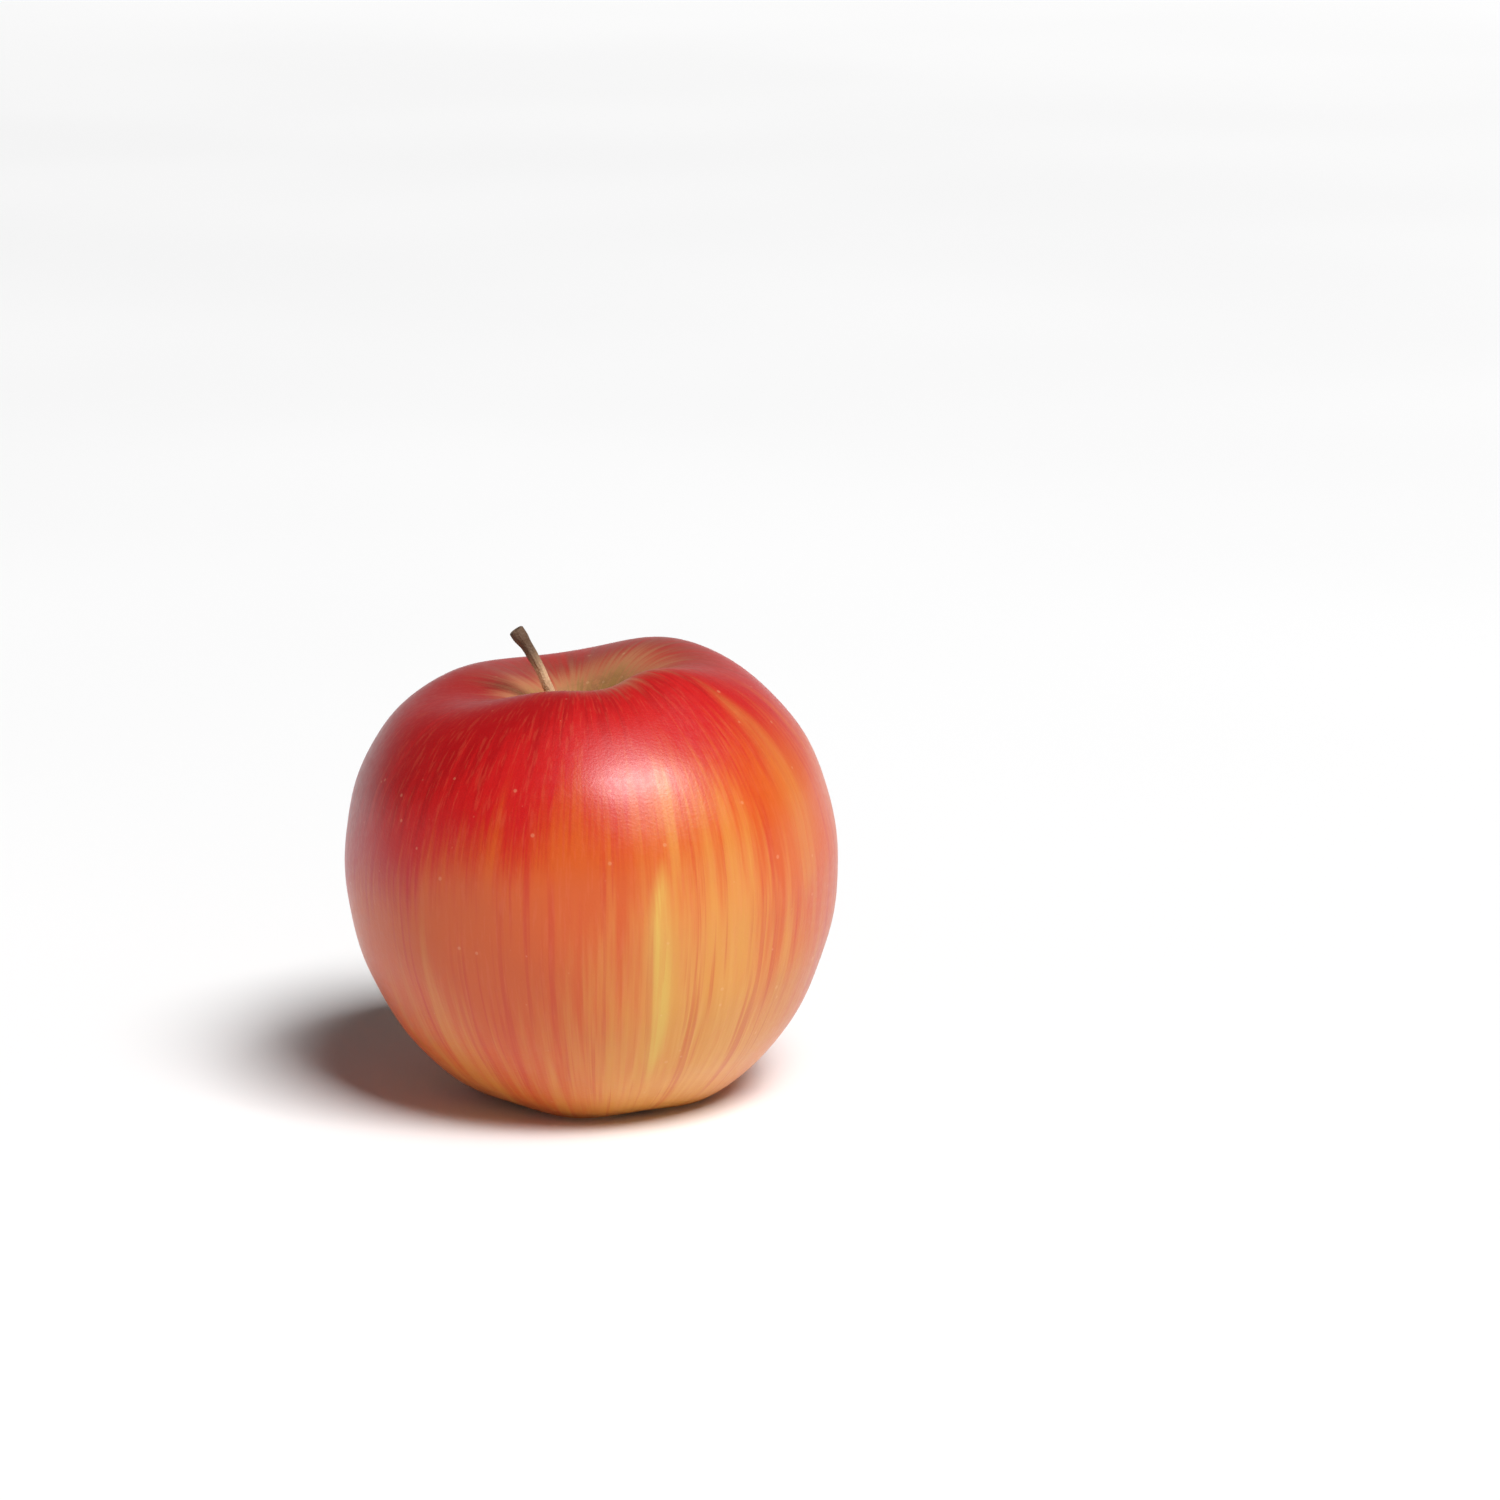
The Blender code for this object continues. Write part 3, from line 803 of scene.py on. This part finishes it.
bump = add_node(tree, "Bump", {"Strength": 0.5, "Distance": 0.00015, "Height": rough})
tree.links.new(bump.outputs[0], surface["Normal"])
stem.data.materials.append(bark)

# %% The dry husk of the calyx
SEPAL_DARK, SEPAL_LIGHT = (0.075, 0.045, 0.022), (0.30, 0.21, 0.12)
STAMEN_DARK, STAMEN_LIGHT = (0.035, 0.020, 0.010), (0.17, 0.11, 0.06)


def husk_material(name, dark, light, fibre_size):
    """Felted brown husk: fibres and patches between a dark and a light brown."""
    material, tree, surface = new_material(name)
    place = carried_value(tree, "grain", "Vector")
    fibre = placed(tree, streaks, place=place, across=fibre_size, along=5.0)
    felt = placed(tree, grain, size=0.00028, detail=5.0)
    patch = placed(tree, grain, size=0.0016, detail=3.0)
    share = math(tree, "MULTIPLY_ADD", felt, 0.35, math(tree, "MULTIPLY", fibre, patch), clamp=True)
    tree.links.new(mixed(tree, share, dark, light), surface["Base Color"])
    tree.links.new(ramp(tree, felt, 0.0, 1.0, 0.75, 0.95), surface["Roughness"])
    height = math(tree, "MULTIPLY_ADD", fibre, 0.6, felt)
    bump = add_node(tree, "Bump", {"Strength": 0.7, "Distance": 0.00012, "Height": height})
    tree.links.new(bump.outputs[0], surface["Normal"])
    return material


sepal_husk = husk_material("sepal_husk", SEPAL_DARK, SEPAL_LIGHT, fibre_size=2.6)
stamen_husk = husk_material("stamen_husk", STAMEN_DARK, STAMEN_LIGHT, fibre_size=1.8)
stamens.data.materials.append(stamen_husk)
for number in range(SEPAL_COUNT):
    bpy.data.objects[f"dry_sepal_{number + 1}"].data.materials.append(sepal_husk)
print("materials:", [material.name for material in (apple_skin, bark, sepal_husk, stamen_husk)])

# %% [markdown]
# ## The studio
#
# The apple stands on a plain white floor. One wide, soft light stands high on the
# right and a little to the front: it makes the squarish highlight on the shoulder
# and the shadow that falls away to the left. The white floor throws light back up
# under the fruit, and that does more for the shaded side than a second lamp would.
# The room is dark above, which keeps the shadow deep, and white low down and behind:
# glossy skin shows that white as a pale rim where it turns away from the eye. Far off,
# where the one light is weak, the paper glows a little, so that it stays white there.
# The white surround looks full white, but it lights the fruit at half that strength:
# at full strength the rims would be too pale, and the shaded cheek too bright.

# %% Floor
FLOOR_SIDE, FLOOR_FRONT, FLOOR_BACK = 4.0, -2.0, 6.0
PAPER_DARK, PAPER_LIGHT = (0.93, 0.93, 0.93), (0.95, 0.95, 0.95)
GLOW_START, GLOW_FULL, GLOW = 0.7, 4.5, 0.45

corners = [
    (-FLOOR_SIDE, FLOOR_FRONT, 0.0),
    (FLOOR_SIDE, FLOOR_FRONT, 0.0),
    (FLOOR_SIDE, FLOOR_BACK, 0.0),
    (-FLOOR_SIDE, FLOOR_BACK, 0.0),
]
floor_mesh = bpy.data.meshes.new("floor")
floor_mesh.from_pydata(corners, [], [(0, 1, 2, 3)])
floor = bpy.data.objects.new("floor", floor_mesh)
bpy.context.scene.collection.objects.link(floor)

paper, tree, surface = new_material(
    "floor_paper", Roughness=0.9, Specular_IOR_Level=0.1, Emission_Strength=1.0
)
cloudy = ramp(tree, placed(tree, grain, size=0.3, detail=1.0), 0.0, 1.0)
tree.links.new(mixed(tree, cloudy, PAPER_DARK, PAPER_LIGHT), surface["Base Color"])
here = add_node(tree, "TexCoord").outputs["Object"]
far_off = add_node(tree, "VectorMath", {0: here}, operation="LENGTH").outputs["Value"]
glow = ramp(tree, far_off, GLOW_START, GLOW_FULL, 0.0, GLOW)
tree.links.new(mixed(tree, glow, (0.0, 0.0, 0.0), (1.0, 1.0, 1.0)), surface["Emission Color"])
floor_mesh.materials.append(paper)

# %% Lights
KEY_DIRECTION = Vector((0.35, -0.415, 0.84)).normalized()
KEY_DISTANCE, KEY_WIDTH, KEY_HEIGHT = 14.0, 6.8, 5.6
KEY_WATTS = 2480.0
ROOM_LEVEL = 0.05  # of the dark part of the room
WHITE_LEVEL, WHITE_SEEN_LEVEL = 0.50, 0.95  # of its white part, as light and as seen
# sine of the height above the level, where each white starts to fade and where it ends
HORIZON_FADE, HORIZON_END = 0.13, 0.22
BACKDROP_FADE, BACKDROP_END = 0.25, 0.60
BACKDROP_SHARE = 0.55

lamp = bpy.data.lights.new("key_light", "AREA")
lamp.shape = "RECTANGLE"
lamp.size, lamp.size_y = KEY_WIDTH, KEY_HEIGHT
lamp.energy = KEY_WATTS
key_light = bpy.data.objects.new("key_light", lamp)
key_light.location = Vector(FRUIT_MIDDLE) + KEY_DISTANCE * KEY_DIRECTION
key_light.rotation_euler = KEY_DIRECTION.to_track_quat("Z", "Y").to_euler()
bpy.context.scene.collection.objects.link(key_light)

world = bpy.data.worlds.new("studio")
world.use_nodes = True
tree = world.node_tree
ahead = add_node(tree, "SeparateXYZ", {0: add_node(tree, "TexCoord").outputs["Generated"]}).outputs
horizon = ramp(tree, ahead[2], HORIZON_FADE, HORIZON_END, 1.0, 0.0)
backdrop = ramp(tree, ahead[2], BACKDROP_FADE, BACKDROP_END, BACKDROP_SHARE, 0.0)
backdrop = math(tree, "MULTIPLY", backdrop, ramp(tree, ahead[1], 0.2, 0.9))
seen = add_node(tree, "LightPath").outputs["Is Camera Ray"]
level = math(tree, "MULTIPLY_ADD", seen, WHITE_SEEN_LEVEL - WHITE_LEVEL, WHITE_LEVEL)
white = math(tree, "MAXIMUM", horizon, backdrop)
white = math(tree, "MULTIPLY_ADD", white, level, ROOM_LEVEL)
tree.links.new(white, tree.nodes["Background"].inputs["Strength"])
tree.nodes["Background"].inputs["Color"].default_value = (1.0, 1.0, 1.0, 1.0)
bpy.context.scene.world = world

# %% Camera
LENS, SENSOR_WIDTH = 115.2, 36.0
CAMERA_PLACE = Vector((0.0, -0.7191, 0.2267))
CAMERA_AIM = Vector((0.0247, 0.0049, 0.0524))

camera_data = bpy.data.cameras.new("camera")
camera_data.lens = LENS
camera_data.sensor_width = SENSOR_WIDTH
camera_data.clip_start = 0.01
camera = bpy.data.objects.new("camera", camera_data)
camera.location = CAMERA_PLACE
camera.rotation_euler = (CAMERA_AIM - CAMERA_PLACE).to_track_quat("-Z", "Y").to_euler()
bpy.context.scene.collection.objects.link(camera)
bpy.context.scene.camera = camera
bpy.context.scene.view_settings.view_transform = "Standard"
